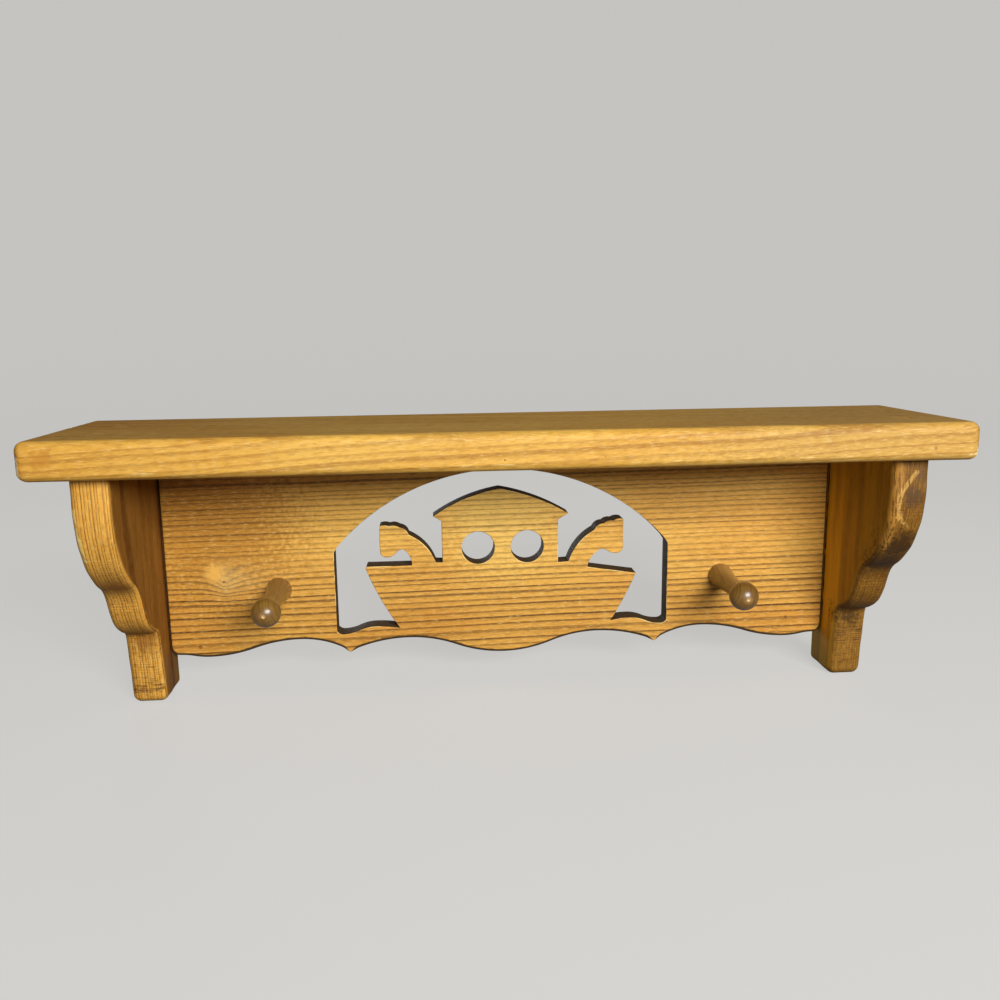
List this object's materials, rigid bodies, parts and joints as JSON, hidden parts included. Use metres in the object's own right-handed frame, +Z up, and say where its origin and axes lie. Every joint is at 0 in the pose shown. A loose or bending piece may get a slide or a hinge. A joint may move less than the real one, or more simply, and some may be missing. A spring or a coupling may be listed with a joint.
{
  "type": "wall shelf with pegs",
  "caption": "Pine wall shelf on scroll brackets with a fretwork back panel and turned pegs for hanging things under the board.",
  "frame": {"origin": "on the wall plane, midway between the entry holes of the two keyhole hangers", "axes": "+X along the shelf to the right as seen from the front, +Y into the wall, +Z up"},
  "size_m": [0.46, 0.1, 0.1575],
  "materials": {
    "shelf_pine": "satin honey stain and lacquer",
    "panel_pine": "satin honey stain and lacquer",
    "bracket_pine": "satin honey stain and lacquer",
    "peg_birch": "gloss brown stain and lacquer",
    "plug_pine": "satin honey stain and lacquer",
    "dowel_birch": "raw",
    "hanger_steel": "zinc plated",
    "screw_steel": "zinc plated"
  },
  "bodies": {
    "root": {"back_panel": "panel_pine", "left_bracket": "bracket_pine", "left_front_plug": "plug_pine", "left_front_shelf_screw": "screw_steel", "left_keyhole_plate": "hanger_steel", "left_lower_dowel": "dowel_birch", "left_lower_plate_screw": "screw_steel", "left_peg": "peg_birch", "left_rear_plug": "plug_pine", "left_rear_shelf_screw": "screw_steel", "left_top_dowel": "dowel_birch", "left_upper_dowel": "dowel_birch", "left_upper_plate_screw": "screw_steel", "right_bracket": "bracket_pine", "right_front_plug": "plug_pine", "right_front_shelf_screw": "screw_steel", "right_keyhole_plate": "hanger_steel", "right_lower_dowel": "dowel_birch", "right_lower_plate_screw": "screw_steel", "right_peg": "peg_birch", "right_rear_plug": "plug_pine", "right_rear_shelf_screw": "screw_steel", "right_top_dowel": "dowel_birch", "right_upper_dowel": "dowel_birch", "right_upper_plate_screw": "screw_steel", "shelf_board": "shelf_pine"}
  },
  "joints": []
}
